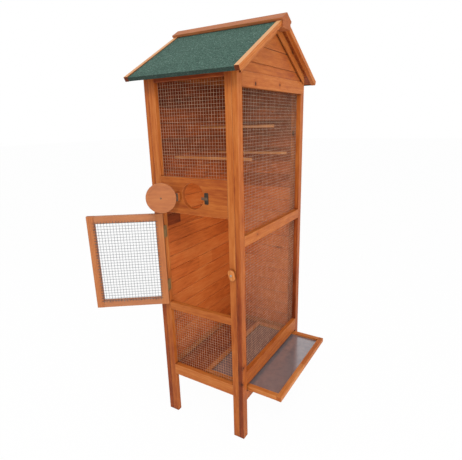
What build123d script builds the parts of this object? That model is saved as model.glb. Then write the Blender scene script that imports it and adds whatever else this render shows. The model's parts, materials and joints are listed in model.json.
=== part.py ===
from build123d import *
from math import ceil, cos, radians, sin, tan
import os

# Wooden aviary: a tall cage on four legs under a gable roof, in millimetres.
# X runs along the front from left to right, Y from front to back and Z up.
# The origin is the middle of the foot of the front left post.

# Plan and legs
body_width = 410.0
body_depth = 594.0
side_thickness = 22.0
post_width = 33.0
frame_thickness = 22.0
stile_width = 28.0
edge_ease = 1.0

# Roof, which sits a little to the left on the body
roof_pitch = 30.0
eave_height = 1481.0
eave_overhang = 50.0
left_overhang = 49.0
right_overhang = 37.0
felt_thickness = 2.0
felt_lip = 14.0
deck_thickness = 10.0
barge_width = 18.0
barge_depth = 18.0
barge_rise = 3.0
trim_thickness = 6.0
trim_depth = 30.0
trim_inset = 15.0
cap_thickness = 9.0
cap_reach = 36.0
cap_overhang = 6.0
cap_block_width = 66.0
cap_block_depth = 41.0

# Front rails and hatch panel, heights above the ground
front_bottom_low = 205.0
front_bottom_height = 50.0
door_sill_low = 537.0
door_sill_height = 32.0
hatch_panel_low = 974.0
hatch_panel_height = 142.0
hatch_panel_thickness = 16.0
top_rail_drop = 19.0

# Side and back rails
side_top_drop = 2.0
side_top_height = 50.0
side_mid_low = 863.0
side_mid_height = 41.0
side_bottom_low = 251.0
side_bottom_height = 63.0
tray_sill_low = 180.0
tray_sill_height = 40.0
plain_bottom_low = 205.0
plain_bottom_height = 50.0

# Boards in the plain walls and gables
board_thickness = 12.0
board_pitch = 62.5
board_inset = 6.0
groove_side = 4.0
gable_board_pitch = 58.0
gable_first_board = 34.0
gable_joint_count = 3

# Wire mesh, drawn with every sixth wire of the 12 mm netting
wire_pitch = 12.0
wires_drawn_apart = 6
wire_bar = 2.0
mesh_lap = 8.0

# Perches: distance from the front and height
perch_radius = 6.0
perch_places = [(137.0, 1178.0), (466.0, 1178.0), (332.0, 1297.0)]

# Door, hung on the left and standing open
door_gap = 5.0
door_thickness = 18.0
door_member = 30.0
door_open = 144.0
knuckle_radius = 3.5
hinge_length = 50.0
hinge_leaf_width = 15.0
hinge_leaf_thickness = 1.5
hinge_inset = 79.0
hinge_pin_radius = 1.6
pin_clearance = 0.3

# Turn button on the right stile
button_height = 757.0
button_length = 44.0
button_width = 25.0
button_thickness = 9.0
button_standoff = 5.0
button_tilt = 15.0
button_edge = 2.0
screw_radius = 2.0
screw_head_radius = 4.5
screw_head_height = 2.5
washer_radius = 6.0

# Round hatch over the entrance hole
hole_radius = 51.5
hole_rise = 73.0
hatch_radius = 58.0
hatch_drop = 5.0
hatch_thickness = 12.0
hatch_standoff = 5.0
hatch_open = 146.6
hatch_edge = 1.5
hatch_knuckle_radius = 3.0
hatch_hinge_length = 30.0
hatch_leaf_width = 18.0
hatch_leaf_thickness = 1.2
knob_radius = 12.0
knob_neck_radius = 7.0
knob_length = 20.0
catch_length = 44.0
catch_width = 18.0
catch_thickness = 1.2
catch_nose = 6.0
catch_nose_width = 5.0

# Pull-out tray
tray_pull = 155.0
tray_gap = 5.0
tray_length = 378.0
tray_batten_width = 22.0
tray_batten_height = 20.0
tray_bottom = 225.0
tray_sheet_thickness = 1.0
tray_sheet_drop = 10.0
running_gap = 0.3

# Fixed floor that the tray slides on
floor_thickness = 9.0
bearer_width = 24.0
bearer_height = 10.0

# Places that follow from the sizes
x_left = -side_thickness / 2
x_right = x_left + body_width
y_front = -post_width / 2
y_back = y_front + body_depth
x_inner_left = x_left + side_thickness
x_inner_right = x_right - side_thickness
opening_left = x_inner_left + stile_width
opening_right = x_inner_right - stile_width
opening_width = opening_right - opening_left
opening_middle = (opening_left + opening_right) / 2
bay_front = y_front + post_width
bay_back = y_back - post_width
y_middle = (y_front + y_back) / 2
slope = tan(radians(roof_pitch))
roof_cos = cos(radians(roof_pitch))
roof_sin = sin(radians(roof_pitch))
roof_half = body_depth / 2 + eave_overhang
roof_apex = eave_height + roof_half * slope
roof_shell = felt_thickness + deck_thickness
cap_block_bottom = roof_apex - cap_block_depth
side_top_high = eave_height - side_top_drop
side_top_low = side_top_high - side_top_height
front_top_low = eave_height - top_rail_drop
hole_height = hatch_panel_low + hole_rise

os.makedirs("parts", exist_ok=True)


def save(piece, label):
    piece.label = label
    export_step(piece, "parts/" + label + ".step")


def roof_z(y, depth):
    """Height of the plane that lies a given depth under the roof's top surface."""
    return roof_apex - abs(y - y_middle) * slope - depth / roof_cos


def bar(x_span, y_span, z_span, eased=True):
    """A straight batten or flat board between two limits along each axis, its long edges eased or sharp."""
    with BuildPart() as piece:
        with BuildSketch(Plane.XY.offset(z_span[0])):
            with Locations((sum(x_span) / 2, sum(y_span) / 2)):
                Rectangle(x_span[1] - x_span[0], y_span[1] - y_span[0])
        extrude(amount=z_span[1] - z_span[0])
        if eased:
            chamfer(piece.edges().group_by(SortBy.LENGTH)[-1], edge_ease)
    return piece.part


def under_roof(x_span, y_span, low, grain):
    """A post, stile or rail from a height up to the underside of the roof, cut to its slope."""
    tops = [(y, roof_z(y, roof_shell)) for y in y_span]
    with BuildPart() as piece:
        with BuildSketch(Plane.YZ.offset(x_span[0])):
            with BuildLine():
                Polyline((y_span[0], low), (y_span[1], low), tops[1], tops[0], close=True)
            make_face()
        extrude(amount=x_span[1] - x_span[0])
        chamfer(piece.edges().filter_by(grain), edge_ease)
    return piece.part


def plank_wall(face, outline, joints, span, grooved_sides):
    """Boards laid edge to edge, with a V-groove at each joint on the sides that show."""
    with BuildPart() as wall:
        with BuildSketch(face):
            with BuildLine():
                Polyline(*outline, close=True)
            make_face()
        extrude(amount=-board_thickness)
        for depth in grooved_sides:
            with Locations(*[face * Location((sum(span) / 2, joint, -depth)) for joint in joints]):
                Box(span[1] - span[0] + groove_side, groove_side, groove_side,
                    rotation=(45, 0, 0), mode=Mode.SUBTRACT)
    return wall.part


def wire_mesh(face, u_span, v_span):
    """A flat lattice of thin bars, fused where they cross, laid on a face."""
    width = u_span[1] - u_span[0]
    height = v_span[1] - v_span[0]
    drawn = wire_pitch * wires_drawn_apart
    across = ceil((width - wire_bar) / drawn)
    up = ceil((height - wire_bar) / drawn)
    step_u = (width - wire_bar) / across
    step_v = (height - wire_bar) / up
    with BuildPart() as mesh:
        with BuildSketch(face):
            with Locations(((u_span[0] + u_span[1]) / 2, (v_span[0] + v_span[1]) / 2)):
                Rectangle(width, height)
                with GridLocations(step_u, step_v, across, up):
                    Rectangle(step_u - wire_bar, step_v - wire_bar, mode=Mode.SUBTRACT)
        extrude(amount=wire_bar)
    return mesh.part


# Corner posts of the two side panels: the back one stops under the top rail
left_x = (x_left, x_inner_left)
right_x = (x_inner_right, x_right)
front_post_y = (y_front, bay_front)
back_post_y = (bay_back, y_back)
for side_x, label in ((left_x, "left_posts"), (right_x, "right_posts")):
    save(Compound([under_roof(side_x, front_post_y, 0, Axis.Z),
                   bar(side_x, back_post_y, (0, side_top_low))]), label)

# Stiles of the front and back panels
front_y = (y_front, y_front + frame_thickness)
back_y = (y_back - frame_thickness, y_back)
stile_spans = ((x_inner_left, opening_left), (opening_right, x_inner_right))
for panel_y, label in ((front_y, "front_stiles"), (back_y, "back_stiles")):
    save(Compound([under_roof(span, panel_y, 0, Axis.Z) for span in stile_spans]), label)

# Front rails
opening_x = (opening_left, opening_right)
front_bottom_top = front_bottom_low + front_bottom_height
door_sill_top = door_sill_low + door_sill_height
hatch_panel_top = hatch_panel_low + hatch_panel_height
save(bar(opening_x, front_y, (front_bottom_low, front_bottom_top)), "front_bottom_rail")
save(bar(opening_x, front_y, (door_sill_low, door_sill_top)), "door_sill_rail")
save(under_roof(opening_x, front_y, front_top_low, Axis.X), "front_top_rail")

# Solid panel above the door with its round entrance hole
front_face = Plane.XZ.offset(-y_front)
with BuildPart() as hatch_panel:
    with BuildSketch(front_face):
        with Locations((opening_middle, (hatch_panel_low + hatch_panel_top) / 2)):
            Rectangle(opening_width, hatch_panel_height)
        with Locations((opening_middle, hole_height)):
            Circle(hole_radius, mode=Mode.SUBTRACT)
    extrude(amount=-hatch_panel_thickness)
save(hatch_panel.part, "hatch_panel")

# Rails of the open right side: the top one runs over the back post
bay_y = (bay_front, bay_back)
gable_y = (bay_front, y_back)
side_mid_top = side_mid_low + side_mid_height
side_bottom_top = side_bottom_low + side_bottom_height
tray_sill_top = tray_sill_low + tray_sill_height
save(bar(right_x, gable_y, (side_top_low, side_top_high)), "right_top_rail")
save(bar(right_x, bay_y, (side_mid_low, side_mid_top)), "right_mid_rail")
save(bar(right_x, bay_y, (side_bottom_low, side_bottom_top)), "right_bottom_rail")
save(bar(right_x, bay_y, (tray_sill_low, tray_sill_top)), "tray_sill_rail")

# Rails of the boarded left side and back
plain_bottom_top = plain_bottom_low + plain_bottom_height
save(Compound([bar(left_x, gable_y, (side_top_low, side_top_high)),
               bar(left_x, bay_y, (plain_bottom_low, plain_bottom_top))]), "left_rails")
save(Compound([under_roof(opening_x, back_y, front_top_low, Axis.X),
               bar(opening_x, back_y, (plain_bottom_low, plain_bottom_top))]), "back_rails")


def wall_joints(low, high):
    """Heights of the joints between boards that start at the bottom rail."""
    count = ceil((high - low) / board_pitch)
    return [low + board_pitch * number for number in range(1, count)]


# Boarded walls
left_wall_face = Plane(origin=(x_left + board_inset, 0, 0), x_dir=(0, -1, 0), z_dir=(-1, 0, 0))
left_wall = plank_wall(
    left_wall_face,
    [(-bay_front, plain_bottom_top), (-bay_back, plain_bottom_top),
     (-bay_back, side_top_low), (-bay_front, side_top_low)],
    wall_joints(plain_bottom_top, side_top_low),
    (-bay_back, -bay_front),
    (0, board_thickness))
save(left_wall, "left_wall_boards")

back_wall_face = Plane(origin=(0, y_back - board_inset, 0), x_dir=(-1, 0, 0), z_dir=(0, 1, 0))
back_wall = plank_wall(
    back_wall_face,
    [(-opening_left, plain_bottom_top), (-opening_right, plain_bottom_top),
     (-opening_right, front_top_low), (-opening_left, front_top_low)],
    wall_joints(plain_bottom_top, front_top_low),
    (-opening_right, -opening_left),
    (0, board_thickness))
save(back_wall, "back_wall_boards")

# Gable boards above the side rails, up to the roof and the ridge block
cap_foot = (roof_z(y_middle, roof_shell) - cap_block_bottom) / slope
gable_first_joint = side_top_high + gable_first_board
gable_joints = [gable_first_joint + gable_board_pitch * number for number in range(gable_joint_count)]
gable_outline = [
    (bay_front, side_top_high), (y_back, side_top_high),
    (y_back, roof_z(y_back, roof_shell)), (y_middle + cap_foot, cap_block_bottom),
    (y_middle - cap_foot, cap_block_bottom), (bay_front, roof_z(bay_front, roof_shell))]
right_gable_face = Plane(origin=(x_right - board_inset / 2, 0, 0), x_dir=(0, 1, 0), z_dir=(1, 0, 0))
left_gable_face = Plane(origin=(x_left + board_inset / 2, 0, 0), x_dir=(0, -1, 0), z_dir=(-1, 0, 0))
right_gable = plank_wall(right_gable_face, gable_outline, gable_joints, gable_y, (0,))
save(right_gable, "right_gable_boards")
left_gable = plank_wall(left_gable_face, [(-y, z) for y, z in gable_outline],
                        gable_joints, (-y_back, -bay_front), (0,))
save(left_gable, "left_gable_boards")

# Wire mesh, stapled to the inner face of its frame
front_mesh_face = Plane(origin=(0, front_y[1], 0), x_dir=(-1, 0, 0), z_dir=(0, 1, 0))
right_mesh_face = Plane(origin=(x_inner_right, 0, 0), x_dir=(0, -1, 0), z_dir=(-1, 0, 0))
front_mesh_u = (-opening_right - mesh_lap, -opening_left + mesh_lap)
right_mesh_u = (-bay_back - mesh_lap, -bay_front + mesh_lap)
save(wire_mesh(front_mesh_face, front_mesh_u, (hatch_panel_top - mesh_lap, front_top_low + mesh_lap)),
     "front_upper_mesh")
save(wire_mesh(front_mesh_face, front_mesh_u, (front_bottom_top - mesh_lap, door_sill_low + mesh_lap)),
     "front_lower_mesh")
save(wire_mesh(right_mesh_face, right_mesh_u, (side_mid_top - mesh_lap, side_top_low + mesh_lap)),
     "right_upper_mesh")
save(wire_mesh(right_mesh_face, right_mesh_u, (side_bottom_top - mesh_lap, side_mid_low + mesh_lap)),
     "right_lower_mesh")

# Perches from the boarded side to the mesh
perch_start = x_left + board_inset + board_thickness
perch_end = x_inner_right - wire_bar
with BuildPart() as perches:
    with BuildSketch(Plane.YZ.offset(perch_start)):
        with Locations(*[(y_front + y, z) for y, z in perch_places]):
            Circle(perch_radius)
    extrude(amount=perch_end - perch_start)
save(perches.part, "perches")

# Roof
y_eave = y_front - eave_overhang
roof_x = (x_left - left_overhang, x_right + right_overhang)
deck_x = (roof_x[0] + barge_width, roof_x[1] - barge_width)
ridge_y = y_middle - cap_block_width / 2


def slope_point(y, depth):
    """A point under the front slope's top surface, square to it, as (y, z)."""
    return (y + depth * roof_sin, roof_z(y, 0) - depth * roof_cos)


def ridge_point(depth):
    """A point of the front slope on the plumb face of the ridge block, as (y, z)."""
    return (ridge_y, roof_z(ridge_y, depth))


def slope_pieces(x_spans, profile):
    """The same profile along both slopes, over each length."""
    mirrored = [(2 * y_middle - y, z) for y, z in profile]
    pieces = []
    for x_span in x_spans:
        for outline in (profile, mirrored):
            with BuildPart() as piece:
                with BuildSketch(Plane.YZ.offset(x_span[0])):
                    with BuildLine():
                        Polyline(*outline, close=True)
                    make_face()
                extrude(amount=x_span[1] - x_span[0])
            pieces.append(piece.part)
    return Compound(pieces)


y_deck = y_eave + felt_thickness * roof_cos
deck_profile = [slope_point(y_deck, felt_thickness), slope_point(y_deck, roof_shell),
                ridge_point(roof_shell), ridge_point(felt_thickness)]
save(slope_pieces([deck_x], deck_profile), "roof_deck_boards")

# Felt, folded down over the edge of the boards at each eave
felt_profile = [slope_point(y_eave, 0), slope_point(y_eave, felt_lip), slope_point(y_deck, felt_lip),
                slope_point(y_deck, felt_thickness), ridge_point(felt_thickness), ridge_point(0)]
save(slope_pieces([deck_x], felt_profile), "roof_felt")

# Barge battens along the gable ends, standing a little above the felt
barge_foot = barge_depth - barge_rise
barge_profile = [slope_point(y_eave, -barge_rise), slope_point(y_eave, barge_foot),
                 ridge_point(barge_foot), ridge_point(-barge_rise)]
save(slope_pieces([(roof_x[0], deck_x[0]), (deck_x[1], roof_x[1])], barge_profile), "barge_boards")

# Trims on the outer faces of the gables, under the roof boards and mitred below the ridge block
trim_foot = roof_shell + trim_depth
trim_start = y_front + trim_inset
trim_profile = [(trim_start, roof_z(trim_start, roof_shell)), (trim_start, roof_z(trim_start, trim_foot)),
                (y_middle, roof_z(y_middle, trim_foot)), (y_middle, cap_block_bottom),
                (ridge_y, cap_block_bottom), ridge_point(roof_shell)]
save(slope_pieces([(x_left - trim_thickness, x_left), (x_right, x_right + trim_thickness)], trim_profile),
     "gable_trims")

# Ridge cap: one moulded length, its wings lying on the barges and its block between the slopes
cap_x = (roof_x[0] - cap_overhang, roof_x[1] + cap_overhang)
cap_tip = y_middle - cap_reach
cap_rise = barge_rise + cap_thickness
cap_wing = [(y_middle, roof_z(y_middle, -cap_rise)), slope_point(cap_tip, -cap_rise),
            slope_point(cap_tip, -barge_rise), ridge_point(-barge_rise), (ridge_y, cap_block_bottom)]
with BuildPart() as ridge_cap:
    with BuildSketch(Plane.YZ.offset(cap_x[0])):
        with BuildLine():
            Polyline(*cap_wing, *[(2 * y_middle - y, z) for y, z in reversed(cap_wing[1:])], close=True)
        make_face()
    extrude(amount=cap_x[1] - cap_x[0])
save(ridge_cap.part, "ridge_cap")

# Door: drawn in the plane of its hinge axis, standing open
hinge_axis = (opening_left + door_gap / 2, y_front - knuckle_radius)
door_angle = radians(door_open)
door_plane = Plane(origin=(hinge_axis[0], hinge_axis[1], 0),
                   x_dir=(cos(door_angle), -sin(door_angle), 0),
                   z_dir=(-sin(door_angle), -cos(door_angle), 0))
door_face = -knuckle_radius
door_back = door_face - door_thickness
door_u = (door_gap / 2, opening_width - door_gap * 3 / 2)
door_v = (door_sill_top + door_gap, hatch_panel_low - door_gap)


def door_bar(u_span, v_span):
    """One member of the door frame."""
    with BuildPart() as member:
        with BuildSketch(door_plane.offset(door_back)):
            with Locations((sum(u_span) / 2, sum(v_span) / 2)):
                Rectangle(u_span[1] - u_span[0], v_span[1] - v_span[0])
        extrude(amount=door_thickness)
        chamfer(member.edges().group_by(SortBy.LENGTH)[-1], edge_ease)
    return member.part


door_inner_u = (door_u[0] + door_member, door_u[1] - door_member)
door_inner_v = (door_v[0] + door_member, door_v[1] - door_member)
save(Compound([door_bar(span, door_v)
               for span in ((door_u[0], door_inner_u[0]), (door_inner_u[1], door_u[1]))]), "door_stiles")
save(Compound([door_bar(door_inner_u, span)
               for span in ((door_v[0], door_inner_v[0]), (door_inner_v[1], door_v[1]))]), "door_rails")
save(wire_mesh(door_plane.offset(door_back - wire_bar),
               (door_inner_u[0] - mesh_lap, door_inner_u[1] + mesh_lap),
               (door_inner_v[0] - mesh_lap, door_inner_v[1] + mesh_lap)),
     "door_mesh")


def hinge_half(plane, leaf_z, heights, sizes, holds_pin):
    """Half of a butt hinge: a leaf and its barrels about the axis through the plane's origin."""
    radius, length, width, pin_radius = sizes
    barrel = length / 3
    places = (-1, 1) if holds_pin else (0,)
    leaf_middle = sum(leaf_z) / 2
    leaf_thickness = leaf_z[1] - leaf_z[0]
    with BuildPart(plane) as half:
        for height in heights:
            with Locations(((radius + width) / 2, height, leaf_middle)):
                Box(width - radius, length, leaf_thickness)
            for place in places:
                with Locations((radius / 2, height + place * barrel, leaf_middle)):
                    Box(radius, barrel - pin_clearance, leaf_thickness)
                with Locations(Location((0, height + place * barrel, 0), (90, 0, 0))):
                    Cylinder(radius, barrel - pin_clearance)
            with Locations(Location((0, height, 0), (90, 0, 0))):
                if holds_pin:
                    Cylinder(pin_radius, length)
                else:
                    Cylinder(pin_radius + pin_clearance, length, mode=Mode.SUBTRACT)
    return half.part


# Two butt hinges in the gap carry the door: end barrels and pins on the stile, middle barrels on the door
hinge_heights = (door_v[0] + hinge_inset, door_v[1] - hinge_inset)
door_hinge_sizes = (knuckle_radius, hinge_length, hinge_leaf_width, hinge_pin_radius)
fixed_hinge_plane = Plane(origin=door_plane.origin, x_dir=(0, 1, 0), z_dir=(1, 0, 0))
moving_hinge_plane = Plane(origin=door_plane.origin,
                           x_dir=(sin(door_angle), cos(door_angle), 0),
                           z_dir=(cos(door_angle), -sin(door_angle), 0))
half_gap = door_gap / 2
save(hinge_half(fixed_hinge_plane, (-half_gap, hinge_leaf_thickness - half_gap),
                hinge_heights, door_hinge_sizes, True), "door_hinge_fixed_leaves")
save(hinge_half(moving_hinge_plane, (half_gap - hinge_leaf_thickness, half_gap),
                hinge_heights, door_hinge_sizes, False), "door_hinge_moving_leaves")

# Turn button on the right stile, upright but leaning a little, on its screw and spacer
button_plane = Plane(origin=((opening_right + x_inner_right) / 2, y_front, button_height),
                     x_dir=(1, 0, 0), z_dir=(0, -1, 0))
with BuildPart() as turn_button:
    with BuildSketch(button_plane.offset(button_standoff)):
        SlotOverall(button_length, button_width, rotation=90 + button_tilt)
        Circle(screw_radius + pin_clearance, mode=Mode.SUBTRACT)
    extrude(amount=button_thickness)
    front_rim = turn_button.faces().sort_by(Axis.Y)[0].outer_wire().edges()
    chamfer(front_rim, button_edge)
save(turn_button.part, "turn_button")

seat_at_base = (Align.CENTER, Align.CENTER, Align.MIN)
with BuildPart(button_plane) as turn_button_screw:
    Cylinder(washer_radius, button_standoff - running_gap, align=seat_at_base)
    Cylinder(screw_radius, button_standoff + button_thickness + running_gap, align=seat_at_base)
    with Locations((0, 0, button_standoff + button_thickness + running_gap)):
        Cylinder(screw_head_radius, screw_head_height, align=seat_at_base)
save(turn_button_screw.part, "turn_button_screw")

# Round hatch: a disc wider than its hole, hung beside it on a packing block, standing open
hatch_front = hatch_standoff + hatch_thickness
hatch_axis = (opening_middle - hatch_radius - hatch_knuckle_radius,
              y_front - hatch_front - hatch_knuckle_radius)
hatch_angle = radians(hatch_open)
hatch_plane = Plane(origin=(hatch_axis[0], hatch_axis[1], hole_height - hatch_drop),
                    x_dir=(cos(hatch_angle), -sin(hatch_angle), 0),
                    z_dir=(-sin(hatch_angle), -cos(hatch_angle), 0))
hatch_centre = hatch_radius + hatch_knuckle_radius
hatch_face = -hatch_knuckle_radius
with BuildPart() as hatch_disc:
    with BuildSketch(hatch_plane.offset(hatch_face - hatch_thickness)):
        with Locations((hatch_centre, 0)):
            Circle(hatch_radius)
    extrude(amount=hatch_thickness)
    chamfer(hatch_disc.edges().filter_by(GeomType.CIRCLE), hatch_edge)
save(hatch_disc.part, "hatch_disc")

with BuildPart() as hatch_knob:
    with BuildSketch(hatch_plane.offset(hatch_face)):
        with Locations((hatch_centre, 0)):
            Circle(knob_neck_radius)
    extrude(amount=knob_length / 2)
    with BuildSketch(hatch_plane.offset(hatch_face + knob_length / 2)):
        with Locations((hatch_centre, 0)):
            Circle(knob_radius)
    extrude(amount=knob_length / 2)
save(hatch_knob.part, "hatch_knob")

block_x = (hatch_axis[0] - hatch_leaf_width - pin_clearance, hatch_axis[0] - pin_clearance)
block_z = (hole_height - hatch_drop - hatch_hinge_length / 2,
           hole_height - hatch_drop + hatch_hinge_length / 2)
save(bar(block_x, (y_front - hatch_front, y_front), block_z), "hatch_hinge_block")

hatch_hinge_sizes = (hatch_knuckle_radius, hatch_hinge_length, hatch_leaf_width, hinge_pin_radius)
fixed_hatch_plane = Plane(origin=(hatch_axis[0], hatch_axis[1], hole_height - hatch_drop),
                          x_dir=(-1, 0, 0), z_dir=(0, 1, 0))
fixed_leaf_z = (hatch_knuckle_radius - hatch_leaf_thickness, hatch_knuckle_radius)
save(hinge_half(fixed_hatch_plane, fixed_leaf_z, (0,), hatch_hinge_sizes, True),
     "hatch_hinge_fixed_leaf")
save(hinge_half(hatch_plane, (hatch_face, hatch_face + hatch_leaf_thickness), (0,),
                hatch_hinge_sizes, False), "hatch_hinge_moving_leaf")

# Spring catch beside the hole, its nose just clear of the closed disc
catch_left = opening_middle + hatch_radius - catch_nose_width
catch_plane = Plane(origin=(0, y_front, hole_height - hatch_drop), x_dir=(1, 0, 0), z_dir=(0, -1, 0))
with BuildPart(catch_plane) as hatch_catch:
    with Locations((catch_left + catch_width / 2, 0, 0)):
        Box(catch_width, catch_length, catch_thickness, align=seat_at_base)
    with Locations((catch_left + catch_width - catch_nose_width / 2, 0, 0)):
        Box(catch_nose_width, catch_length / 3, catch_nose, align=seat_at_base)
save(hatch_catch.part, "hatch_catch")

# Pull-out tray, drawn part way out of the right side: four battens around a sheet
tray_x = (x_right + tray_pull - tray_length, x_right + tray_pull)
tray_y = (bay_front + tray_gap, bay_back - tray_gap)
tray_top = tray_bottom + tray_batten_height
tray_z = (tray_bottom, tray_top)
sheet_x = (tray_x[0] + tray_batten_width, tray_x[1] - tray_batten_width)
sheet_y = (tray_y[0] + tray_batten_width, tray_y[1] - tray_batten_width)
save(Compound([bar((tray_x[0], sheet_x[0]), tray_y, tray_z), bar((sheet_x[1], tray_x[1]), tray_y, tray_z),
               bar(sheet_x, (tray_y[0], sheet_y[0]), tray_z), bar(sheet_x, (sheet_y[1], tray_y[1]), tray_z)]),
     "tray_frame")
sheet_top = tray_top - tray_sheet_drop
save(bar(sheet_x, sheet_y, (sheet_top - tray_sheet_thickness, sheet_top), eased=False), "tray_sheet")

# Floor of the cage, on two bearers behind the bottom rails
floor_top = tray_bottom - running_gap
floor_bottom = floor_top - floor_thickness
floor_x = (x_inner_left, x_inner_right)
floor_y = (front_y[1], back_y[0])
save(bar(floor_x, floor_y, (floor_bottom, floor_top), eased=False), "floor_boards")
save(Compound([bar(floor_x, span, (floor_bottom - bearer_height, floor_bottom))
               for span in ((floor_y[0], floor_y[0] + bearer_width),
                            (floor_y[1] - bearer_width, floor_y[1]))]), "floor_bearers")
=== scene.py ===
# %% [markdown]
# # A tall wooden aviary, dressed piece by piece
# The cage comes from the CAD model with every batten, board and hinge in its place, and those
# pieces are never moved here. What is left to Blender is how they look, and the small things
# that are too fine for the CAD: the full wire netting, its staples and the screws.
# Everything is in metres, X along the front, Y towards the back and Z up.

# %% Load the cage
import bpy
import json
import math
import numpy as np
from mathutils import Matrix, Vector


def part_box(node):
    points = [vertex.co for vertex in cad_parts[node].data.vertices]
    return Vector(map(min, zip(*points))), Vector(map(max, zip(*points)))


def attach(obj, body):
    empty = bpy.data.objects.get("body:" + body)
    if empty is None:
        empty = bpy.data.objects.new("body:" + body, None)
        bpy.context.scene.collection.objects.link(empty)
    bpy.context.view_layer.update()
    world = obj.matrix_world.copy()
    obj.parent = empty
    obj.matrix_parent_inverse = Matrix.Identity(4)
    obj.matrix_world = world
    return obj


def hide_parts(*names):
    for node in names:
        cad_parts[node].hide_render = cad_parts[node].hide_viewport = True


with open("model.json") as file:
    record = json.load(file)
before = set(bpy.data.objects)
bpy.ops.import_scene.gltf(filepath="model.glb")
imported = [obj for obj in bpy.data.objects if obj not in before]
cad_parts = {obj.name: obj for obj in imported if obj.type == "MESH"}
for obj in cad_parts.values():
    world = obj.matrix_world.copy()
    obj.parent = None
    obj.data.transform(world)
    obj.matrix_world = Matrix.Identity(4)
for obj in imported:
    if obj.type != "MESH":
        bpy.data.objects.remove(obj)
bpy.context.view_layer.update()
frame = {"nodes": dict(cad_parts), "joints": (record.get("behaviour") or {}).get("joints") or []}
nodes = frame["nodes"]

# %% [markdown]
# ## The camera
# The picture looks down on the front right corner from about head height. A camera can be aimed
# by hand until it looks right, but here its place and angles were worked out from measured corners
# of the cage, so it is set from three angles: yaw, pitch and a slight roll. The small shift puts the
# centre of the lens back where the picture was trimmed off centre.

# %% Camera
image_width, image_height = 462, 460
lens_centre = (235.06, 238.52)
focal_pixels = 386.294
camera_place = (1.08479, -1.18428, 1.31103)
yaw, pitch, roll = -0.544793, -0.289975, -0.023156

forward = Vector((math.sin(yaw) * math.cos(pitch), math.cos(yaw) * math.cos(pitch), math.sin(pitch)))
level_right = Vector((math.cos(yaw), -math.sin(yaw), 0))
level_up = level_right.cross(forward)
camera_right = level_right * math.cos(roll) + level_up * math.sin(roll)
camera_up = level_up * math.cos(roll) - level_right * math.sin(roll)

camera_data = bpy.data.cameras.new("camera")
camera_data.sensor_fit = "HORIZONTAL"
camera_data.sensor_width = 36
camera_data.lens = focal_pixels / image_width * camera_data.sensor_width
camera_data.shift_x = (image_width / 2 - lens_centre[0]) / image_width
camera_data.shift_y = (lens_centre[1] - image_height / 2) / image_width
camera = bpy.data.objects.new("camera", camera_data)
camera.matrix_world = Matrix((camera_right, camera_up, -forward)).transposed().to_4x4()
camera.location = camera_place
bpy.context.scene.collection.objects.link(camera)
bpy.context.scene.camera = camera
bpy.context.scene.view_settings.view_transform = "Standard"
print("lens", round(camera_data.lens, 2), "mm")

# %% [markdown]
# ## Writing a finish as sums
# A finish in Blender is a graph of nodes. Wiring many Math nodes by hand hides the idea, so a
# socket is wrapped in a small class, Field, whose sums add the Math nodes. `1 - mask * 0.4` then
# reads as it would on paper.

# %% Field
class Field:
    """A value that changes over a surface: one output socket of a finish's graph."""

    def __init__(self, finish, socket):
        self.finish = finish
        self.socket = socket

    def out(self, name):
        return Field(self.finish, self.socket.node.outputs[name])

    def __add__(self, other):
        return self.finish.math("ADD", self, other)

    def __radd__(self, other):
        return self.finish.math("ADD", other, self)

    def __sub__(self, other):
        return self.finish.math("SUBTRACT", self, other)

    def __rsub__(self, other):
        return self.finish.math("SUBTRACT", other, self)

    def __mul__(self, other):
        return self.finish.math("MULTIPLY", self, other)

    def __rmul__(self, other):
        return self.finish.math("MULTIPLY", other, self)

    def __truediv__(self, other):
        return self.finish.math("DIVIDE", self, other)

    def __pow__(self, other):
        return self.finish.math("POWER", self, other)

    def __gt__(self, other):
        return self.finish.math("GREATER_THAN", self, other)

    def __lt__(self, other):
        return self.finish.math("LESS_THAN", self, other)

    def __abs__(self):
        return self.finish.math("ABSOLUTE", self)


print("a Field can be added, multiplied and compared")

# %% [markdown]
# ### A graph that hands out its nodes
# Every node comes from one method, Finish.node, which takes the node's type, its settings, and the
# values or links of its sockets. What comes up again and again, such as a soft step or a noise, gets
# a short method of its own. The sky is a graph too, so the same class serves it.

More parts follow.
